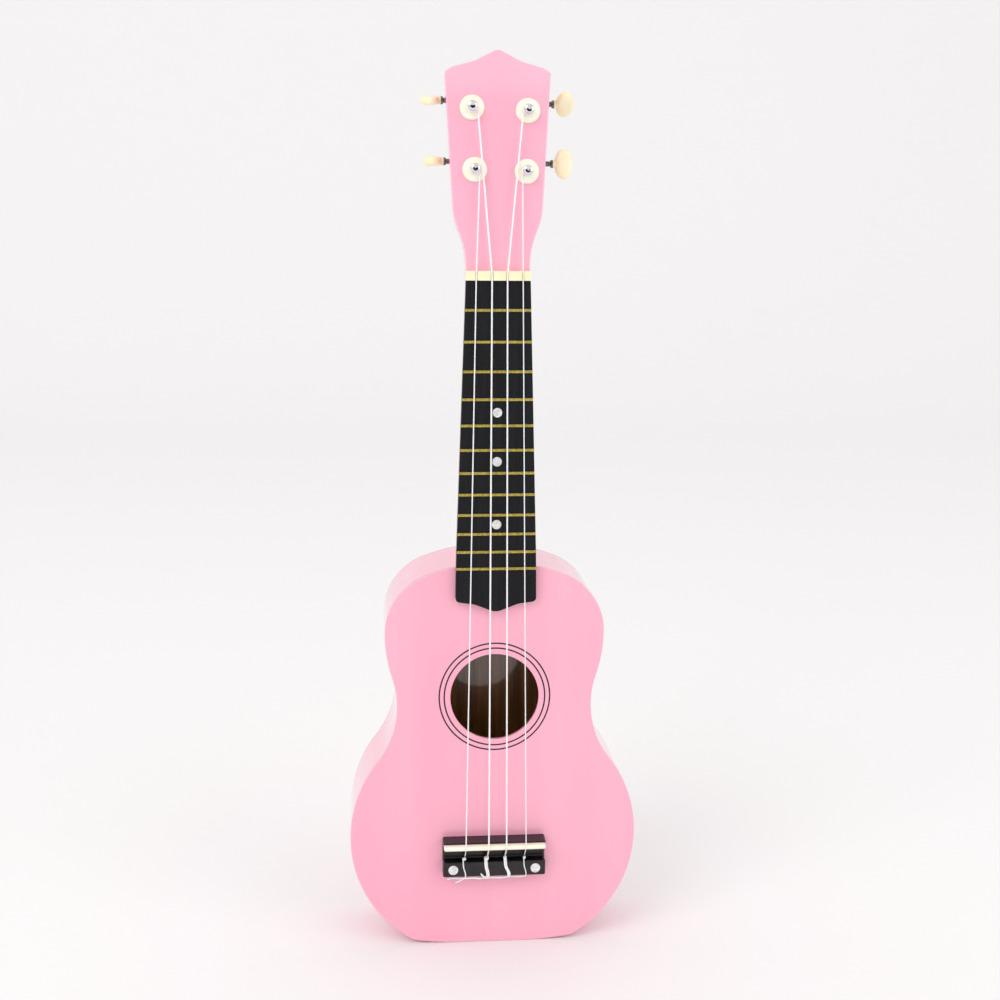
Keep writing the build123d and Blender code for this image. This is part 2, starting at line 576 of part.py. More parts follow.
with BuildPart() as gear:
    with BuildSketch(Plane.XY.offset(WORM_Z - GEAR_FACE / 2)):
        Circle(GEAR_ROOT)
        with PolarLocations(0, GEAR_TEETH):
            Polygon((3.0, -0.55), (GEAR_TIP, -0.22), (GEAR_TIP, 0.22), (3.0, 0.55), align=None)
    extrude(amount=GEAR_FACE)
    with BuildSketch(Plane.XY.offset(TUNER_PLATE + END_PLAY)):
        Circle(3.1)
    extrude(amount=WORM_Z - GEAR_FACE / 2 - TUNER_PLATE - END_PLAY)
    with BuildSketch():
        Circle(JOURNAL_RADIUS)
    extrude(amount=10, mode=Mode.SUBTRACT)
GEAR_TOP = WORM_Z + GEAR_FACE / 2

SCREW_BORE, SCREW_DEPTH = 0.9, 3.2
WAIST_LOW, WAIST_HIGH = FACE_Z - WINDING_STAND - WINDING_HEIGHT, FACE_Z - WINDING_STAND
with BuildPart() as post:
    add(
        turned(
            [
                (0, POST_TIP_Z),
                (1.6, POST_TIP_Z + 0.15),
                (2.5, POST_TIP_Z + 0.55),
                (POST_RADIUS, POST_TIP_Z + 1.2),
                (POST_RADIUS, WAIST_LOW - 0.3),
                (WAIST_OF_POST, WAIST_LOW),
                (WAIST_OF_POST, WAIST_HIGH),
                (POST_RADIUS, WAIST_HIGH + 0.3),
                (POST_RADIUS, -END_PLAY),
                (JOURNAL_RADIUS, -END_PLAY),
                (JOURNAL_RADIUS, GEAR_TOP),
                (SCREW_BORE, GEAR_TOP),
                (SCREW_BORE, GEAR_TOP - SCREW_DEPTH),
                (0, GEAR_TOP - SCREW_DEPTH),
            ]
        )
    )
    with Locations((0, 0, (WAIST_LOW + WAIST_HIGH) / 2)):
        Cylinder(0.7, 10, rotation=(90, 0, 0), mode=Mode.SUBTRACT)

gear_screw = turned(
    [
        (0, GEAR_TOP - SCREW_DEPTH),
        (SCREW_BORE, GEAR_TOP - SCREW_DEPTH),
        (SCREW_BORE, GEAR_TOP),
        (2.5, GEAR_TOP),
        (2.5, GEAR_TOP + 0.7),
        (1.9, GEAR_TOP + 1.3),
        (0, GEAR_TOP + 1.3),
    ]
)
bushing = turned(
    [
        (POST_RADIUS + RUNNING_CLEARANCE, FACE_Z + 7),
        (POST_HOLE_RADIUS, FACE_Z + 7),
        (POST_HOLE_RADIUS, FACE_Z),
        (7.1, FACE_Z),
        (7.1, FACE_Z - 0.9),
        (6.6, FACE_Z - 1.6),
        (5.6, FACE_Z - 2.1),
        (4.7, FACE_Z - 2.3),
        (4.6, FACE_Z - 2.7),
        (3.9, FACE_Z - 3.0),
        (POST_RADIUS + RUNNING_CLEARANCE, FACE_Z - 3.1),
    ]
)
with BuildPart() as tuner_screw:
    with BuildSketch(Plane.XY.offset(-TUNER_SCREW_LENGTH)):
        Circle(TUNER_SCREW_RADIUS)
    extrude(amount=TUNER_SCREW_LENGTH + TUNER_PLATE)
    with BuildSketch(Plane.XY.offset(TUNER_PLATE)):
        Circle(1.9)
    extrude(amount=1.1, taper=20)


def button(turn):
    """A flat oval button with a hub, turned about the worm's axis."""
    with BuildPart() as oval:
        axis = Axis(WORM_AXIS.origin, (1, 0, 0))
        flat = Plane(origin=WORM_AXIS.origin, x_dir=(1, 0, 0), z_dir=(0, 0, 1))
        with BuildSketch(flat):
            with Locations((BUTTON_START + BUTTON_LENGTH / 2, 0)):
                Ellipse(BUTTON_LENGTH / 2, BUTTON_WIDTH / 2)
        extrude(amount=BUTTON_THICKNESS / 2, both=True)
        fillet(oval.faces().filter_by(Axis.Z).edges(), 2.2)
        with BuildSketch(WORM_AXIS.offset(BUTTON_START - 1.0)):
            Circle(2.4)
        extrude(amount=4.0)
        with BuildSketch(WORM_AXIS):
            Circle(SHAFT_RADIUS)
        extrude(amount=BUTTON_START + 5.5, mode=Mode.SUBTRACT)
    return oval.part.rotate(axis, turn)


def winding(gauge):
    """The turns of string round a post, as one sleeve."""
    outer = WAIST_OF_POST + 2 * gauge
    low, high = WAIST_LOW + 0.05, WAIST_HIGH - 0.05
    edge = 0.3
    profile = [
        (WAIST_OF_POST, low),
        (outer - edge, low),
        (outer, low + edge),
        (outer, high - edge),
        (outer - edge, high),
        (WAIST_OF_POST, high),
    ]
    return turned(profile)


def place(pieces, x, up):
    """Puts pieces made in a tuner's own frame at a post, mirrored for the right-hand side."""
    with BuildPart() as placed:
        with Locations(tuner_plane(x, up)):
            for piece in pieces:
                add(piece)
        if x > 0:
            mirror(about=Plane.YZ, mode=Mode.REPLACE)
    return placed.part


with BuildPart() as shaft_in_place:
    with Locations(WORM_AXIS):
        add(worm_shaft.part)

bushings, tuner_screws = [], []
for (name, gauge, at_nut, at_saddle), (x, up, turn) in zip(STRINGS, TUNERS):
    save(place([tuner_plate.part], x, up), f"{name}_tuner_plate")
    save(place([shaft_in_place.part], x, up), f"{name}_worm_shaft")
    save(place([gear.part], x, up), f"{name}_gear")
    save(place([post.part], x, up), f"{name}_post")
    save(place([gear_screw], x, up), f"{name}_gear_screw")
    save(place([button(turn)], x, up), f"{name}_button")
    save(place([winding(gauge)], x, up), f"{name}_winding")
    bushings.append(place([bushing], x, up))
    with BuildPart() as screw_pair:
        with Locations(*TUNER_SCREWS):
            add(tuner_screw.part)
    tuner_screws.append(place([screw_pair.part], x, up))

for name, group in (("post_bushings", bushings), ("tuner_screws", tuner_screws)):
    with BuildPart() as together:
        add(group)
    save(together.part, name)


# ---------------------------------------------------------------- strings
def crossing(a, a_slope, b, b_slope):
    """Where two lines cross, given as (z, stand) points and slopes."""
    z = (b[1] - a[1] + a_slope * a[0] - b_slope * b[0]) / (a_slope - b_slope)
    return z, a[1] + a_slope * (z - a[0])


def slope_over(start, centre, radius):
    """Slope of the line from a (z, stand) point that passes over a round top on its outer side."""
    run, rise = centre[0] - start[0], centre[1] - start[1]
    steepness = tan(atan2(rise, abs(run)) + asin(radius / hypot(run, rise)))
    return steepness if run > 0 else -steepness


saddle_round = (SADDLE_Z, SADDLE_STAND - SADDLE_THICKNESS / 2)
nut_corner = (ZERO_Z + 0.4, STRING_AT_NUT)
hole_exit = (TIE_BLOCK_Z + 1.4, TIE_HOLE_STAND)
for (name, gauge, at_nut, at_saddle), (post_x, post_up, turn) in zip(STRINGS, TUNERS):
    bend = SADDLE_THICKNESS / 2 + STRING_GAP + gauge / 2
    rising = slope_over(hole_exit, saddle_round, bend)
    speaking = slope_over(nut_corner, saddle_round, bend)
    saddle_corner = crossing(hole_exit, rising, nut_corner, speaking)

    wrap = WAIST_OF_POST + gauge / 2
    across, along = post_x - at_nut, post_up
    heading = atan2(across, along) + asin(wrap / hypot(across, along)) * (1 if post_x < 0 else -1)
    clear_of_winding = sqrt((WAIST_OF_POST + 2 * gauge) ** 2 - WAIST_OF_POST**2) + STRING_END_GAP
    length = sqrt(across**2 + along**2 - wrap**2) - clear_of_winding
    end = head_origin + head_up * cos(heading) * length - head_back * (WINDING_STAND + WINDING_HEIGHT / 2)
    end += Vector(at_nut + sin(heading) * length, 0, 0)

    route = [
        Vector(at_saddle, FRONT_Y - TIE_HOLE_STAND, BRIDGE_LOW_Z),
        Vector(at_saddle, FRONT_Y - hole_exit[1], hole_exit[0]),
        Vector(at_saddle, FRONT_Y - saddle_corner[1], saddle_corner[0]),
        Vector(at_nut, FRONT_Y - nut_corner[1], nut_corner[0]),
        end,
    ]
    with BuildPart() as string:
        with BuildLine():
            path = FilletPolyline(*route, radius=(1.2, bend, 12))
        with BuildSketch(Plane(origin=path @ 0, z_dir=path % 0)):
            Circle(gauge / 2)
        sweep(path=path)
    save(string.part, f"{name}_string")
    print(name, "string", round(path.length, 1), "mm, volume", round(string.part.volume / (pi * gauge**2 / 4), 1))
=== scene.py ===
# %% [markdown]
# # A soprano ukulele in pink lacquer
# The CAD model is the fixed frame of this scene: boards, neck, frets, bridge and geared tuners are already
# there at their real size. This lesson dresses them. It gives every board, moulding and metal part the
# finish of the real one, and it models what a CAD file leaves plain: the tied strings, their turns on the
# posts and the tuner buttons.

# %% Load the frame
import json
import math

import bpy
from mathutils import Matrix, Vector


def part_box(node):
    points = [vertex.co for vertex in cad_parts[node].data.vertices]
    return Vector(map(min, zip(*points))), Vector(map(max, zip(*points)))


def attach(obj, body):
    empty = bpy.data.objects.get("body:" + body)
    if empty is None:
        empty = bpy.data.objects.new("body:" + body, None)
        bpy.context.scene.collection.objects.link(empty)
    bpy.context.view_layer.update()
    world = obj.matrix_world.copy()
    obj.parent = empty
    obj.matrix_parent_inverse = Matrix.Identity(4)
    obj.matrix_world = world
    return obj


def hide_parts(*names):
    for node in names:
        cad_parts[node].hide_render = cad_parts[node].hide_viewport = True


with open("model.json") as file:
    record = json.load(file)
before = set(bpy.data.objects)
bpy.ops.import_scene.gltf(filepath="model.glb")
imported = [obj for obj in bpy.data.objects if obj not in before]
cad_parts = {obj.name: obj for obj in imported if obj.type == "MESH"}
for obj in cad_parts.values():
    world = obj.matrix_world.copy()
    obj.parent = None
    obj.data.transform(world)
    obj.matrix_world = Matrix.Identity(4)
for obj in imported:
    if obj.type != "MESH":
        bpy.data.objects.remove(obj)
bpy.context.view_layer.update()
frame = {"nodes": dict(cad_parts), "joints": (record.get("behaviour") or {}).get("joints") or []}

MM = 0.001

# %% [markdown]
# Operators act on whatever is selected, and the loaded frame arrives selected. Everything is let go first,
# so that no later operator can touch a CAD part by accident.


# %% Let go of the selection
def deselect():
    """Nothing selected, nothing active."""
    bpy.ops.object.select_all(action="DESELECT")
    bpy.context.view_layer.objects.active = None


deselect()
scene = bpy.context.scene
scene.view_settings.view_transform = "Standard"

# %% [markdown]
# ## Where things are
# Three faces of the frame set all the other places: the soundboard's front, the back's outside and the
# headstock's tilted plane. They are read from the boxes of CAD nodes, so they stay right if the model
# changes. The strings are listed once, from the left, with the letter that their CAD nodes carry.

# %% Read the main planes
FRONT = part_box("soundboard")[0][1]
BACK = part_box("back_plate")[1][1]
HEAD_TILT = math.radians(5.0)
HEAD_UP = Vector((0, math.sin(HEAD_TILT), math.cos(HEAD_TILT)))
HEAD_BACK = Vector((0, math.cos(HEAD_TILT), -math.sin(HEAD_TILT)))
HEAD_THICKNESS = 13.0 * MM

# name: gauge, place across at the nut and at the saddle, turn of the tuner's button in degrees
STRINGS = {
    "g": (0.75 * MM, -12.9 * MM, -18.0 * MM, 85.0),
    "c": (1.00 * MM, -3.8 * MM, -4.0 * MM, 78.0),
    "e": (0.95 * MM, 5.1 * MM, 6.9 * MM, -52.0),
    "a": (0.65 * MM, 14.1 * MM, 18.9 * MM, 0.0),
}
joints = {joint["name"]: joint for joint in frame["joints"]}
print("soundboard at y", round(FRONT, 4), "back at y", round(BACK, 4))

# %% [markdown]
# ## Camera
# The camera stands to the left of the instrument, a little above its middle, and looks slightly down. It is
# built from three angles. The lens and a small shift place the edges of the picture.

# %% Camera
YAW, PITCH, ROLL = 0.0920, 0.1839, 0.0082
camera_data = bpy.data.cameras.new("camera")
camera_data.lens = 53.13
camera_data.shift_y = -0.0051
camera = bpy.data.objects.new("camera", camera_data)
scene.collection.objects.link(camera)
ahead = Vector((math.sin(YAW) * math.cos(PITCH), math.cos(YAW) * math.cos(PITCH), -math.sin(PITCH)))
level = Vector((math.cos(YAW), -math.sin(YAW), 0))
above = level.cross(ahead)
right = level * math.cos(ROLL) + above * math.sin(ROLL)
upward = above * math.cos(ROLL) - level * math.sin(ROLL)
turned = Matrix((right, upward, -ahead)).transposed()
camera.matrix_world = Matrix.Translation((-0.07683, FRONT - 0.85768, 0.44558)) @ turned.to_4x4()
scene.camera = camera
print("camera at", [round(c, 3) for c in camera.location])

# %% [markdown]
# ## Colours and nodes
# Paint shops give colours as sRGB hex values, and shaders want linear light, so one function turns one into
# the other. A second function adds any shader node with its settings and its links, which keeps each finish
# readable.


# %% Two helpers for materials
def linear(hex_colour, strength=1.0):
    """sRGB hex to a linear RGBA colour."""
    channels = [int(hex_colour[i : i + 2], 16) / 255 for i in (1, 3, 5)]
    light = [c / 12.92 if c <= 0.04045 else ((c + 0.055) / 1.055) ** 2.4 for c in channels]
    return (*[c * strength for c in light], 1.0)


def add(tree, kind, sockets=None, **settings):
    """Adds a node. A socket takes a value, or is linked if it is given another node's output."""
    node = tree.nodes.new(kind)
    for name, value in settings.items():
        setattr(node, name, value)
    for name, value in (sockets or {}).items():
        if isinstance(value, bpy.types.NodeSocket):
            tree.links.new(value, node.inputs[name])
        else:
            node.inputs[name].default_value = value
    return node


def new_finish(name, **shader_sockets):
    """A material with one Principled shader and Object coordinates."""
    material = bpy.data.materials.new(name)
    material.use_nodes = True
    tree = material.node_tree
    tree.nodes.clear()
    sockets = {name.replace("_", " "): value for name, value in shader_sockets.items()}
    shader = add(tree, "ShaderNodeBsdfPrincipled", sockets)
    out = add(tree, "ShaderNodeOutputMaterial", {"Surface": shader.outputs["BSDF"]})
    place = add(tree, "ShaderNodeTexCoord")
    return material, tree, shader, place.outputs["Object"]


# %% [markdown]
# ## Plywood, bare and lacquered
# Cheap soprano bodies are pressed from thin plywood. Inside it is bare and brown, with grain that runs up the
# boards. A grain is noise squeezed hard in one direction: 1.2 mm wide streaks, twenty times as long.

# %% Bare plywood
GRAIN_WIDTH = 1.2 * MM
GRAIN_STRETCH = 0.05


def grain(tree, coordinates, width=GRAIN_WIDTH, detail=4.0):
    """Streaks along Z, from 0 to 1."""
    squeezed = add(tree, "ShaderNodeMapping", {"Vector": coordinates, "Scale": (1, 1, GRAIN_STRETCH)})
    streaks = add(
        tree,
        "ShaderNodeTexNoise",
        {"Vector": squeezed.outputs["Vector"], "Scale": 1 / width / 4, "Detail": detail, "Roughness": 0.6},
    )
    return streaks.outputs["Fac"]


def wood_colour(tree, coordinates, dark="#6A4324", pale="#A06C38"):
    """Brown streaks for unfinished wood."""
    ramp = add(tree, "ShaderNodeValToRGB", {"Fac": grain(tree, coordinates)})
    ramp.color_ramp.elements[0].position = 0.32
    ramp.color_ramp.elements[0].color = linear(dark)
    ramp.color_ramp.elements[1].position = 0.68
    ramp.color_ramp.elements[1].color = linear(pale)
    return ramp.outputs["Color"]


def bare_plywood():
    material, tree, shader, coordinates = new_finish("bare_plywood", Roughness=0.75)
    tree.links.new(wood_colour(tree, coordinates), shader.inputs["Base Color"])
    fibres = add(
        tree, "ShaderNodeBump", {"Height": grain(tree, coordinates), "Strength": 0.4, "Distance": 0.2 * MM}
    )
    tree.links.new(fibres.outputs["Normal"], shader.inputs["Normal"])
    return material


plywood = bare_plywood()
print("made", plywood.name)

# %% [markdown]
# Outside, the same plywood carries sprayed polyester lacquer in an opaque pink. Sprayed lacquer dries with
# a faint orange peel about 1.5 mm across, and the grain below it telegraphs through as soft upright
# streaks. A thin clear coat gives the gloss. Inside the body the spray stops, so a mask built from position
# or from which way the surface faces swaps the lacquer for bare wood there. One function serves all the
# boards, and each passes its own mask.

# %% Pink lacquer
PEEL = 1.5 * MM


def lacquer(name, inside=None, deep="#FBA8C1", pale="#FFB2C9"):
    """Pink lacquer. inside builds a 0 or 1 mask of the surface that was left bare."""
    material, tree, shader, coordinates = new_finish(
        name, Roughness=0.34, IOR=1.5, Coat_Weight=1.0, Coat_Roughness=0.06, Coat_IOR=1.6
    )
    streaks = grain(tree, coordinates, width=7 * MM, detail=2.0)
    drift = add(tree, "ShaderNodeTexNoise", {"Vector": coordinates, "Scale": 1 / 0.12, "Detail": 1.0})
    both = add(tree, "ShaderNodeMath", {0: streaks, 1: drift.outputs["Fac"]}, operation="MULTIPLY")
    ramp = add(tree, "ShaderNodeValToRGB", {"Fac": both.outputs["Value"]})
    ramp.color_ramp.elements[0].position = 0.12
    ramp.color_ramp.elements[0].color = linear(deep)
    ramp.color_ramp.elements[1].position = 0.40
    ramp.color_ramp.elements[1].color = linear(pale)
    colour = ramp.outputs["Color"]
    if inside:
        mask = inside(tree, coordinates)
        swap = add(
            tree,
            "ShaderNodeMix",
            {"Factor": mask, 6: colour, 7: wood_colour(tree, coordinates)},
            data_type="RGBA",
        )
        colour = swap.outputs[2]
    tree.links.new(colour, shader.inputs["Base Color"])
    peel = add(tree, "ShaderNodeTexNoise", {"Vector": coordinates, "Scale": 1 / PEEL, "Detail": 1.0})
    wavy = add(
        tree, "ShaderNodeBump", {"Height": peel.outputs["Fac"], "Strength": 0.06, "Distance": 0.1 * MM}
    )
    sunk = add(
        tree,
        "ShaderNodeBump",
        {"Height": streaks, "Normal": wavy.outputs["Normal"], "Strength": 0.12, "Distance": 0.3 * MM},
    )
    tree.links.new(sunk.outputs["Normal"], shader.inputs["Normal"])
    tree.links.new(sunk.outputs["Normal"], shader.inputs["Coat Normal"])
    return material


def past(axis, limit, beyond=True):
    """A mask that is 1 past a limit along an axis."""

    def build(tree, coordinates):
        parts = add(tree, "ShaderNodeSeparateXYZ", {"Vector": coordinates})
        kind = "GREATER_THAN" if beyond else "LESS_THAN"
        test = add(tree, "ShaderNodeMath", {0: parts.outputs[axis], 1: limit}, operation=kind)
        return test.outputs["Value"]

    return build


def facing_in(tree, coordinates):
    """A mask that is 1 where a side wall faces the middle of the body."""
    middle = add(tree, "ShaderNodeVectorMath", {0: coordinates, 1: (0, 0, -0.128)}, operation="ADD")
    flat = add(
        tree, "ShaderNodeVectorMath", {0: middle.outputs["Vector"], 1: (1, 0, 0.35)}, operation="MULTIPLY"
    )
    facing = add(tree, "ShaderNodeNewGeometry")
    outward = add(
        tree,
        "ShaderNodeVectorMath",
        {0: flat.outputs["Vector"], 1: facing.outputs["True Normal"]},
        operation="DOT_PRODUCT",
    )
    test = add(tree, "ShaderNodeMath", {0: outward.outputs["Value"], 1: 0.0}, operation="LESS_THAN")
    return test.outputs["Value"]


PAINT_REACH = 1.9 * MM  # how far the spray goes round the edge of the sound hole
BACK_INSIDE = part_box("back_plate")[0][1]
front_lacquer = lacquer("pink_lacquer_front", past("Y", FRONT + PAINT_REACH))
back_lacquer = lacquer("pink_lacquer_back", past("Y", BACK_INSIDE + 0.3 * MM, beyond=False))
side_lacquer = lacquer("pink_lacquer_sides", facing_in)
neck_lacquer = lacquer("pink_lacquer_neck", deep="#FDB3CA", pale="#FFBCD2")
print("made 4 lacquers")

# %% [markdown]
# ## Black fingerboard and bridge
# The fingerboard is maple stained black and wiped, so it is satin, with open pores that run along it. The
# bridge is sprayed, so it is smoother and glossier, and its highlights have a trace of dark red from the
# stain below.

# %% Black stain and black enamel
PORE = 0.5 * MM


def black_stain():
    material, tree, shader, coordinates = new_finish("black_stained_maple", IOR=1.3)
    pores = grain(tree, coordinates, width=PORE, detail=6.0)
    ramp = add(tree, "ShaderNodeValToRGB", {"Fac": pores})
    ramp.color_ramp.elements[0].position = 0.35
    ramp.color_ramp.elements[0].color = linear("#0B0C0F")
    ramp.color_ramp.elements[1].position = 0.7
    ramp.color_ramp.elements[1].color = linear("#17181D")
    tree.links.new(ramp.outputs["Color"], shader.inputs["Base Color"])
    rough = add(tree, "ShaderNodeMapRange", {"Value": pores, "To Min": 0.55, "To Max": 0.40})
    tree.links.new(rough.outputs["Result"], shader.inputs["Roughness"])
    bump = add(tree, "ShaderNodeBump", {"Height": pores, "Strength": 0.35, "Distance": 0.15 * MM})
    tree.links.new(bump.outputs["Normal"], shader.inputs["Normal"])
    return material


def black_enamel():
    material, tree, shader, coordinates = new_finish(
        "black_enamel", IOR=1.4, Coat_Weight=0.35, Coat_Roughness=0.08, Roughness=0.3
    )
    tint = add(tree, "ShaderNodeTexNoise", {"Vector": coordinates, "Scale": 1 / (6 * MM), "Detail": 2.0})
    ramp = add(tree, "ShaderNodeValToRGB", {"Fac": tint.outputs["Fac"]})
    ramp.color_ramp.elements[0].position = 0.4
    ramp.color_ramp.elements[0].color = linear("#07080A")
    ramp.color_ramp.elements[1].position = 0.75
    ramp.color_ramp.elements[1].color = linear("#1E0D14")
    tree.links.new(ramp.outputs["Color"], shader.inputs["Base Color"])
    bump = add(
        tree, "ShaderNodeBump", {"Height": tint.outputs["Fac"], "Strength": 0.15, "Distance": 0.2 * MM}
    )
    tree.links.new(bump.outputs["Normal"], shader.inputs["Normal"])
    return material


stain, enamel = black_stain(), black_enamel()
print("made", stain.name, enamel.name)

# %% [markdown]
# ## Mouldings
# Nut, saddle, bushings and buttons are injection-moulded ABS in cream. ABS lets a little light in, which
# softens its shadows, so it gets a small subsurface share. Cream mouldings also vary faintly in tone where
# the melt cooled. The saddle and bushings get a paler copy of the same cream. This is painted light: it
# brightens them where they take less light.

# %% Cream ABS, pearl and inlay


def cream_abs(name, warm, pale):
    material, tree, shader, coordinates = new_finish(
        name, Roughness=0.3, IOR=1.54, Subsurface_Weight=0.15, Subsurface_Scale=1.5 * MM
    )
    shader.inputs["Subsurface Radius"].default_value = (1.0, 0.7, 0.4)
    cloud = add(tree, "ShaderNodeTexNoise", {"Vector": coordinates, "Scale": 1 / (9 * MM), "Detail": 2.0})
    ramp = add(tree, "ShaderNodeValToRGB", {"Fac": cloud.outputs["Fac"]})
    ramp.color_ramp.elements[0].position = 0.35
    ramp.color_ramp.elements[0].color = linear(warm)
    ramp.color_ramp.elements[1].position = 0.65
    ramp.color_ramp.elements[1].color = linear(pale)
    tree.links.new(ramp.outputs["Color"], shader.inputs["Base Color"])
    return material


def pearl():
    material, tree, shader, coordinates = new_finish("pearl_celluloid", Roughness=0.25, IOR=1.5)
    flakes = add(tree, "ShaderNodeTexVoronoi", {"Vector": coordinates, "Scale": 1 / (1.1 * MM)})
    ramp = add(tree, "ShaderNodeValToRGB", {"Fac": flakes.outputs["Color"]})
    ramp.color_ramp.elements[0].color = linear("#C9C8CA")
    ramp.color_ramp.elements[1].color = linear("#F6F4F4")
    tree.links.new(ramp.outputs["Color"], shader.inputs["Base Color"])
    return material


def inlay_line():
    material, tree, shader, coordinates = new_finish("rosette_ink", Roughness=0.4)
    fade = add(tree, "ShaderNodeTexNoise", {"Vector": coordinates, "Scale": 1 / (2 * MM)})
    ramp = add(tree, "ShaderNodeValToRGB", {"Fac": fade.outputs["Fac"]})
    ramp.color_ramp.elements[0].color = linear("#0A0206")
    ramp.color_ramp.elements[1].color = linear("#22091A")
    tree.links.new(ramp.outputs["Color"], shader.inputs["Base Color"])
    return material


abs_cream = cream_abs("cream_abs", "#FFF0C4", "#FFF8D6")
# A paler copy of the cream for the saddle and bushings: painted light that brightens them.
abs_painted_light = cream_abs("cream_abs_painted_light", "#FFF9DE", "#FFFDEC")
dots, ink = pearl(), inlay_line()
print("made", abs_cream.name, abs_painted_light.name, dots.name, ink.name)

# %% [markdown]
# ## Strings
# Ukulele strings are drawn nylon: white, slightly translucent and smooth, with the faintest waviness from
# the die.

# %% Nylon


def nylon():
    material, tree, shader, coordinates = new_finish(
        "drawn_nylon", Roughness=0.28, IOR=1.53, Subsurface_Weight=0.4, Subsurface_Scale=1 * MM
    )
    die = add(tree, "ShaderNodeTexNoise", {"Vector": coordinates, "Scale": 1 / (3 * MM)})
    ramp = add(tree, "ShaderNodeValToRGB", {"Fac": die.outputs["Fac"]})
    ramp.color_ramp.elements[0].color = linear("#FBFAFB")
    ramp.color_ramp.elements[1].color = linear("#FFFFFF")
    tree.links.new(ramp.outputs["Color"], shader.inputs["Base Color"])
    return material


nylon_white = nylon()
print("made", nylon_white.name)

# %% [markdown]
# ## Metals
# A metal's colour is the colour of its reflections, so each one is a full metallic with its own tint. Fret
# wire is drawn brass that has dulled. Posts and plates are polished nickel-chrome. Screws are zinc-plated
# steel, and the gears are hobbed brass. One function covers them: what differs is tint, tarnish, roughness
# and the scratch size.

# %% The metals


def metal(name, bright, dull, roughness, mark, depth):
    """Metal with a tarnish pattern of the size of mark, which also roughens it."""
    material, tree, shader, coordinates = new_finish(name, Metallic=1.0)
    tarnish = add(tree, "ShaderNodeTexNoise", {"Vector": coordinates, "Scale": 1 / mark, "Detail": 4.0})
    ramp = add(tree, "ShaderNodeValToRGB", {"Fac": tarnish.outputs["Fac"]})
    ramp.color_ramp.elements[0].position = 0.3
    ramp.color_ramp.elements[0].color = linear(dull)
    ramp.color_ramp.elements[1].position = 0.6
    ramp.color_ramp.elements[1].color = linear(bright)
    tree.links.new(ramp.outputs["Color"], shader.inputs["Base Color"])
    rough = add(
        tree,
        "ShaderNodeMapRange",
        {"Value": tarnish.outputs["Fac"], "To Min": roughness * 1.4, "To Max": roughness * 0.7},
    )
    tree.links.new(rough.outputs["Result"], shader.inputs["Roughness"])
    bump = add(
        tree, "ShaderNodeBump", {"Height": tarnish.outputs["Fac"], "Strength": depth, "Distance": 0.05 * MM}
    )
    tree.links.new(bump.outputs["Normal"], shader.inputs["Normal"])
    return material


fret_wire = metal("dulled_brass_wire", "#CDBB62", "#A08B3C", 0.32, 1.5 * MM, 0.2)
nickel_chrome = metal("nickel_chrome", "#E9E9EC", "#CFCFD4", 0.10, 3 * MM, 0.05)
# Worm shafts: steel painted darker with a faint red-brown cast. This is painted shade, not the steel's own
# colour.
steel_painted_shade = metal("steel_painted_shade", "#8A8082", "#3E3436", 0.25, 0.9 * MM, 0.15)
zinc_steel = metal("zinc_steel", "#C9CBCC", "#9EA1A3", 0.30, 0.8 * MM, 0.15)
gear_brass = metal("hobbed_brass", "#D9B25C", "#A8823A", 0.25, 0.8 * MM, 0.15)
print("made 5 metals")

# %% [markdown]
# ## Dress the CAD parts
# Each CAD node keeps its shape and only gets its finish. The loop also smooths the shading of curved walls,
# and leaves edges sharper than 30 degrees crisp.

# %% Materials on the CAD nodes
LETTERS = list(STRINGS)
finishes = {
    "soundboard": front_lacquer,
    "back_plate": back_lacquer,
    "left_side": side_lacquer,
    "right_side": side_lacquer,
    "neck": neck_lacquer,
    "fingerboard": stain,
    "bridge": enamel,
    "rosette_rings": ink,
    "nut": abs_cream,
    "saddle": abs_painted_light,
    "post_bushings": abs_painted_light,
    "frets": fret_wire,
    "fret_markers": dots,
    "bridge_dots": dots,
    "neck_screw": zinc_steel,
    "bridge_screws": zinc_steel,
    "tuner_screws": zinc_steel,
}
for letter in LETTERS:
    finishes[f"{letter}_gear"] = gear_brass
    finishes[f"{letter}_gear_screw"] = zinc_steel
    finishes[f"{letter}_button"] = abs_cream
    finishes[f"{letter}_worm_shaft"] = steel_painted_shade
    for part in ("post", "tuner_plate"):
        finishes[f"{letter}_{part}"] = nickel_chrome
    for part in ("string", "winding"):
        finishes[f"{letter}_{part}"] = nylon_white
for name, node in frame["nodes"].items():
    finish = finishes.get(name, plywood)
    node.data.materials.clear()
    node.data.materials.append(finish)
    node.select_set(True)
    bpy.context.view_layer.objects.active = node
bpy.ops.object.shade_smooth_by_angle(angle=math.radians(30))
deselect()
bare = [name for name in frame["nodes"] if name not in finishes]
print("dressed", len(frame["nodes"]), "nodes,", len(bare), "in bare wood")

# %% [markdown]
# ## Strings
# Each string is a taut line with two corners, over the saddle and in its nut slot. A small arc in each
# corner is what a stiff monofilament does. At the top it meets its post as a tangent, on the side nearer
# the middle. One helper draws any length of string as a round tube, either with straight pieces or with
# soft bends.

# %% Tubes
NUT_Z, NUT_STAND = 414.3 * MM, 5.9 * MM
SADDLE_Z, SADDLE_STAND = 67.7 * MM, 13.3 * MM
HOLE_STAND, HOLE_TOP_Z, INTO_HOLE = 3.6 * MM, 58.4 * MM, 3 * MM
CORNER_REACH = 1.2 * MM  # how far from a corner a string starts to bend
POST_WAIST, WINDING_LOW, WINDING_HIGH = 2.4 * MM, 3.4 * MM, 5.8 * MM


def at(x, stand, z):
    """A point by its height in front of the soundboard."""
    return Vector((x, FRONT - stand, z))


def corners_rounded(route, reach, steps=6):
    """The route with each inner corner swapped for a small parabola."""
    points = [route[0]]
    for before, corner, after in zip(route, route[1:], route[2:]):
        start = corner + (before - corner).normalized() * reach
        end = corner + (after - corner).normalized() * reach
        for step in range(steps + 1):
            t = step / steps
            points.append(start * (1 - t) ** 2 + corner * 2 * t * (1 - t) + end * t**2)
    return points + [route[-1]]


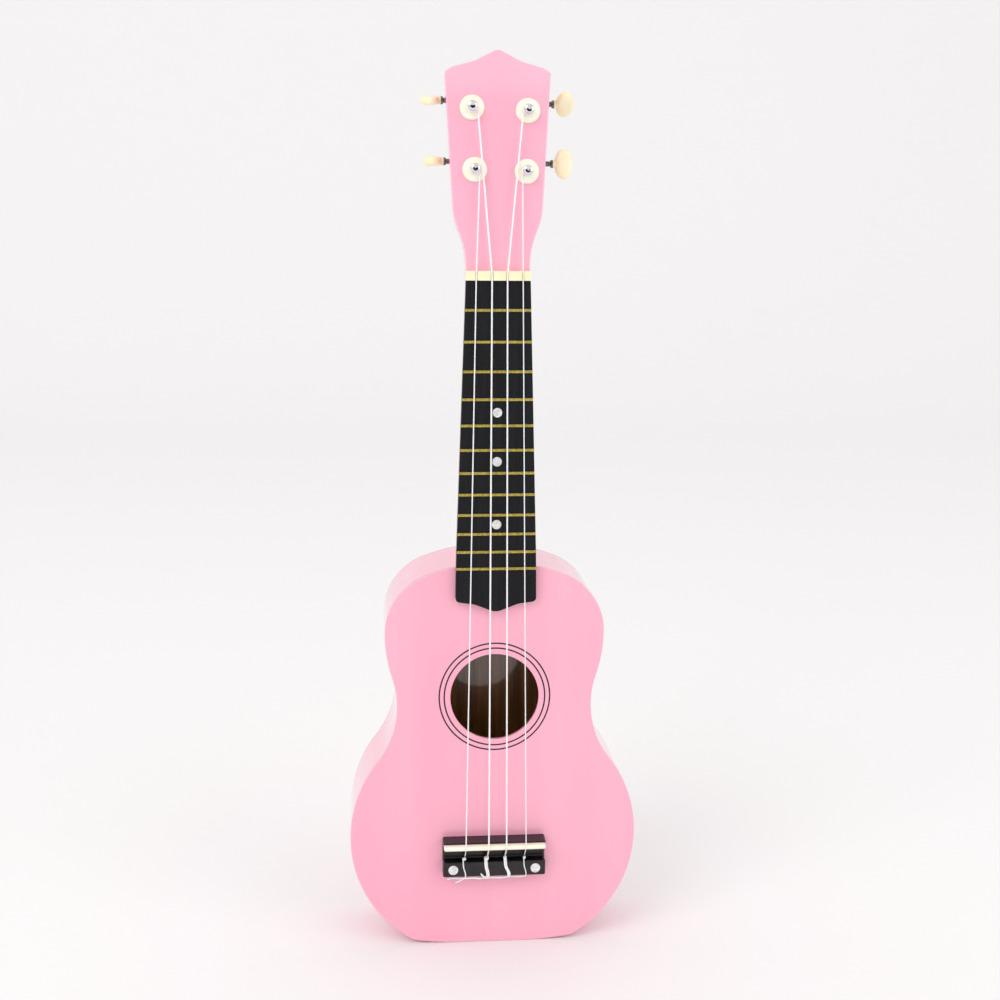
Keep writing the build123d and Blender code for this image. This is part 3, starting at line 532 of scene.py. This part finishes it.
def tube(name, route, gauge, body, soft=False):
    """A string piece along a route. soft bends it smoothly through the points."""
    bpy.ops.curve.primitive_bezier_curve_add()
    piece = bpy.context.object
    piece.name = name
    curve = piece.data
    curve.splines.clear()
    line = curve.splines.new("BEZIER")
    line.bezier_points.add(len(route) - 1)
    for point, place in zip(line.bezier_points, route):
        point.co = place
        point.handle_left_type = point.handle_right_type = "AUTO" if soft else "VECTOR"
    curve.resolution_u = 8 if soft else 1
    curve.bevel_depth = gauge / 2
    curve.bevel_resolution = 5
    curve.use_fill_caps = True
    curve.materials.append(nylon_white)
    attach(piece, body)
    deselect()
    return piece


# %% Strings and the turns on their posts
STEPS_A_TURN = 16
for letter, (gauge, at_nut, at_saddle, _) in STRINGS.items():
    foot = Vector(joints[f"{letter}_post_turn"]["pos_m"]) - HEAD_BACK * HEAD_THICKNESS
    nut = at(at_nut, NUT_STAND, NUT_Z)
    wrap = POST_WAIST + gauge / 2
    across, along = foot.x - nut.x, (foot - nut).dot(HEAD_UP)
    side = 1 if foot.x < 0 else -1
    heading = math.atan2(across, along) + side * math.asin(wrap / math.hypot(across, along))
    onward = HEAD_UP * math.cos(heading) + Vector((math.sin(heading), 0, 0))
    sideways = Vector((math.cos(heading), 0, 0)) - HEAD_UP * math.sin(heading)
    low = foot - HEAD_BACK * (WINDING_LOW + gauge / 2)
    meeting = low + sideways * side * wrap
    route = [
        at(at_saddle, HOLE_STAND, HOLE_TOP_Z - INTO_HOLE),
        at(at_saddle, HOLE_STAND, HOLE_TOP_Z),
        at(at_saddle, SADDLE_STAND + gauge / 2, SADDLE_Z),
        nut,
        meeting,
    ]
    string = tube(f"{letter}_string_drawn", corners_rounded(route, CORNER_REACH), gauge, "instrument")
    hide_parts(f"{letter}_string")

    rise = WINDING_HIGH - WINDING_LOW - gauge
    turns = rise / gauge
    steps = STEPS_A_TURN * max(1, round(turns))
    coil = []
    for step in range(steps + 1):
        angle = math.tau * turns * step / steps
        place = low + (sideways * side * math.cos(angle) + onward * math.sin(angle)) * wrap
        coil.append(place - HEAD_BACK * rise * step / steps)
    coil.append(low - HEAD_BACK * rise)
    winding = tube(f"{letter}_turns", coil, gauge, f"{letter}_string_post", soft=True)
    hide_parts(f"{letter}_winding")
print("drew", len(STRINGS), "strings")

# %% [markdown]
# ## Knots at the bridge
# A string leaves the back of the tie block, comes over its top and is knotted round itself in front of the
# saddle. The ends are left long and lie along the lower edge, each tucked under the next string. Thick
# strings have a second turn. Nylon springs back, so nothing lies quite straight.

# %% Knots, strands and loose ends
BLOCK_STAND, BLOCK_HIGH_Z, BLOCK_LOW_Z = 8.0 * MM, 57.0 * MM, 47.0 * MM
KNOT_STAND, KNOT_Z, KNOT_TURNS, KNOT_STEPS = 7.0 * MM, 58.3 * MM, 2.2, 14
END_STAND, STUB_STAND, SPARE_STAND = 6.8 * MM, 8.4 * MM, 6.2 * MM
# name: the knot and the foot of its strand beside the string, and how many strands lie side by side
TIES = {
    "g": (-1.3 * MM, 0.2 * MM, 1),
    "c": (-1.8 * MM, -0.5 * MM, 2),
    "e": (-0.7 * MM, 1.6 * MM, 2),
    "a": (-0.7 * MM, 0.7 * MM, 1),
}
# name: points of the loose end, as distance from the string and height, in mm
LOOSE_ENDS = {
    "g": ((0.0, 46.3), (-3.0, 45.8), (-7.0, 46.2), (-11.0, 45.7)),
    "c": ((-0.5, 46.3), (-4.5, 45.6), (-9.0, 46.1), (-14.0, 45.9)),
    "e": ((1.4, 46.2), (-3.0, 45.7), (-8.0, 46.0), (-11.5, 45.6)),
    "a": ((0.6, 46.4), (-4.0, 45.9), (-8.0, 46.2), (-12.5, 45.8)),
}
for letter, (knot_beside, foot_beside, strands) in TIES.items():
    gauge, x = STRINGS[letter][0], STRINGS[letter][2]
    lying = BLOCK_STAND + gauge / 2
    loop = []
    for step in range(KNOT_STEPS + 1):
        angle = KNOT_TURNS * math.tau * step / KNOT_STEPS
        swing = knot_beside * 0.5 + (abs(knot_beside) * 0.4 + 0.3 * MM) * math.cos(angle)
        depth = KNOT_STAND + gauge * 0.8 * math.sin(angle)
        loop.append(at(x + swing, depth, KNOT_Z + gauge * step / 9))
    tube(f"{letter}_knot", loop, gauge, "instrument", soft=True)
    for strand in range(strands):
        aside = strand * gauge * 1.05
        drift = (foot_beside - knot_beside) / 3
        route = [
            at(x + knot_beside + aside, KNOT_STAND, BLOCK_HIGH_Z + 1.8 * MM),
            at(x + knot_beside + aside, lying + 0.3 * MM, BLOCK_HIGH_Z - 0.6 * MM),
            at(x + knot_beside + drift * 0.6 + aside, lying + 0.15 * MM, BLOCK_HIGH_Z - 3.4 * MM),
            at(x + knot_beside + drift * 2.4 + aside, lying + 0.1 * MM, BLOCK_HIGH_Z - 6.6 * MM),
            at(x + foot_beside + aside, lying, BLOCK_LOW_Z + 1.2 * MM),
            at(x + foot_beside * 0.6 + aside * 0.5, lying - 1.6 * MM, BLOCK_LOW_Z - gauge * 0.6),
            at(x, HOLE_STAND, BLOCK_LOW_Z - gauge * 0.4),
            at(x, HOLE_STAND, BLOCK_LOW_Z + 1.5 * MM),
        ]
        tube(f"{letter}_strand_{strand + 1}", route, gauge, "instrument", soft=True)
    route = [at(x + beside * MM, END_STAND, z * MM) for beside, z in LOOSE_ENDS[letter]]
    tube(f"{letter}_loose_end", route, gauge, "instrument", soft=True)

C_STUB = ((-1.0, 46.4), (-2.8, 47.6), (-4.4, 49.4))
G_SPARE = ((0.2, 46.2), (-2.6, 44.4), (-6.0, 43.0))
SHORT_ENDS = (("c_stub", "c", STUB_STAND, C_STUB), ("g_spare_end", "g", SPARE_STAND, G_SPARE))
for name, letter, stand, points in SHORT_ENDS:
    gauge, x = STRINGS[letter][0], STRINGS[letter][2]
    tube(name, [at(x + beside * MM, stand, z * MM) for beside, z in points], gauge, "instrument", soft=True)
print("tied", len(TIES), "knots")

# %% [markdown]
# ## Buttons
# A tuner button is a flat oval pillow with rounded flanks and a short hub where the shaft enters. A sphere
# becomes one when its reach and its height are both raised to a power: the outline stays oval and the
# flanks fill out.

# %% Tuner buttons
BUTTON_START, BUTTON_LENGTH, BUTTON_WIDTH, BUTTON_THICKNESS = 18.0 * MM, 10.7 * MM, 17.5 * MM, 5.6 * MM
HUB_RADIUS, HUB_LENGTH = 2.4 * MM, 4.0 * MM
HUB_PROUD = 1.0 * MM  # of the button, towards the headstock
FULLNESS = 0.55  # 1 is an ellipsoid, and less is fuller
for letter, (_, _, _, turn) in STRINGS.items():
    hinge = joints[f"{letter}_button_turn"]
    outward = Vector(hinge["axis"])
    angle = math.radians(turn)
    wide = HEAD_UP * math.cos(angle) + HEAD_BACK * math.sin(angle)
    thin = HEAD_BACK * math.cos(angle) - HEAD_UP * math.sin(angle)
    middle = Vector(hinge["pos_m"]) + outward * (BUTTON_START + BUTTON_LENGTH / 2)

    bpy.ops.mesh.primitive_uv_sphere_add(segments=48, ring_count=24, radius=1)
    pillow = bpy.context.object
    pillow.name = f"{letter}_button_moulded"
    for vertex in pillow.data.vertices:
        x, y, z = vertex.co
        reach = math.hypot(x, y)
        spread = reach ** (FULLNESS - 1) if reach > 1e-6 else 0
        height = math.copysign(abs(z) ** FULLNESS, z)
        vertex.co = (
            middle
            + outward * x * spread * BUTTON_LENGTH / 2
            + wide * y * spread * BUTTON_WIDTH / 2
            + thin * height * BUTTON_THICKNESS / 2
        )
    bpy.ops.mesh.primitive_cylinder_add(vertices=32, radius=HUB_RADIUS, depth=HUB_LENGTH)
    hub = bpy.context.object
    hub.location = middle - outward * (BUTTON_LENGTH / 2 + HUB_PROUD - HUB_LENGTH / 2)
    hub.rotation_euler = outward.to_track_quat("Z", "Y").to_euler()
    bpy.ops.object.transform_apply(location=True, rotation=True)
    pillow.select_set(True)
    bpy.context.view_layer.objects.active = pillow
    bpy.ops.object.join()
    bpy.ops.object.mode_set(mode="EDIT")
    bpy.ops.mesh.select_all(action="SELECT")
    bpy.ops.mesh.normals_make_consistent(inside=False)
    bpy.ops.object.mode_set(mode="OBJECT")
    bpy.ops.object.shade_smooth_by_angle(angle=math.radians(40))
    pillow.data.materials.append(abs_cream)
    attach(pillow, f"{letter}_button_shaft")
    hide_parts(f"{letter}_button")
    deselect()
print("moulded", len(STRINGS), "buttons")

# %% [markdown]
# ## Floor and light
# The studio is a white sweep: a floor that curves up into a wall, so there is no horizon line. A large soft
# light stands high on the left, a weaker one fills from the right, and a pale sky lights the rest.

# %% The sweep
FLOOR_SIZE, BEND_START, BEND_RADIUS = 8.0, 2.2, 1.0
bpy.ops.mesh.primitive_plane_add(size=FLOOR_SIZE, location=(0, BEND_START - FLOOR_SIZE / 2, 0))
floor = bpy.context.object
floor.name = "studio_sweep"
bpy.ops.object.transform_apply(location=True)
bpy.ops.object.mode_set(mode="EDIT")
bpy.ops.mesh.select_mode(type="EDGE")
bpy.ops.mesh.select_all(action="DESELECT")
bpy.ops.object.mode_set(mode="OBJECT")
for edge in floor.data.edges:
    edge.select = all(floor.data.vertices[v].co.y > BEND_START - 0.01 for v in edge.vertices)
bpy.ops.object.mode_set(mode="EDIT")
bpy.ops.mesh.spin(steps=16, angle=-math.pi / 2, center=(0, BEND_START, BEND_RADIUS), axis=(1, 0, 0))
bpy.ops.mesh.extrude_region_move(TRANSFORM_OT_translate={"value": (0, 0, 4)})
bpy.ops.object.mode_set(mode="OBJECT")
bpy.ops.object.shade_smooth()
paper, tree, shader, coordinates = new_finish("matt_white_paper", Roughness=0.8)
fibre = add(tree, "ShaderNodeTexNoise", {"Vector": coordinates, "Scale": 900.0})
tone = add(tree, "ShaderNodeValToRGB", {"Fac": fibre.outputs["Fac"]})
tone.color_ramp.elements[0].color = linear("#F7F6F6")
tone.color_ramp.elements[1].color = linear("#FBFAFA")
tree.links.new(tone.outputs["Color"], shader.inputs["Base Color"])
floor.data.materials.append(paper)
deselect()
top = max(v.co.z for v in floor.data.vertices)
print("sweep rises to", round(top, 2), "m")

# %% Lights and sky


def soft_light(name, place, size, power):
    """A square area light that looks at the middle of the instrument."""
    lamp = bpy.data.lights.new(name, "AREA")
    lamp.size = size
    lamp.energy = power
    holder = bpy.data.objects.new(name, lamp)
    holder.location = place
    holder.rotation_euler = (Vector((0, 0, 0.27)) - Vector(place)).to_track_quat("-Z", "Y").to_euler()
    scene.collection.objects.link(holder)


soft_light("key", (-1.6, -1.8, 2.2), 1.6, 21)
soft_light("fill", (1.8, -1.6, 1.2), 1.6, 8)
sky = bpy.data.worlds.new("studio")
sky.use_nodes = True
background = sky.node_tree.nodes["Background"]
background.inputs["Color"].default_value = linear("#FFFEFE")
background.inputs["Strength"].default_value = 0.88
scene.world = sky
print("2 lights")

# %% [markdown]
# Polished metal only looks like metal if something dark stands in the room. A black velvet card behind the
# camera is what the tops of the posts reflect. It is hidden from the camera itself.

# %% A dark card behind the camera
CARD_SIZE = (0.62, 0.42, 1)
CARD_BEHIND = Vector((0.18, -0.5, 0.22))
CARD_AIM = Vector((0, 0, 0.45))
bpy.ops.mesh.primitive_plane_add(size=1)
card = bpy.context.object
card.name = "camera_card"
card.scale = CARD_SIZE
card.location = camera.location + CARD_BEHIND
card.rotation_euler = (CARD_AIM - card.location).to_track_quat("Z", "Y").to_euler()
bpy.ops.object.transform_apply(location=True, rotation=True, scale=True)
velvet, tree, shader, coordinates = new_finish("black_velvet", Roughness=1.0)
weave = add(tree, "ShaderNodeTexNoise", {"Vector": coordinates, "Scale": 600.0})
nap = add(tree, "ShaderNodeValToRGB", {"Fac": weave.outputs["Fac"]})
nap.color_ramp.elements[0].color = linear("#020202")
nap.color_ramp.elements[1].color = linear("#0A0A0A")
tree.links.new(nap.outputs["Color"], shader.inputs["Base Color"])
card.data.materials.append(velvet)
card.visible_camera = False
deselect()
print("card at", [round(c, 2) for c in camera.location + CARD_BEHIND])
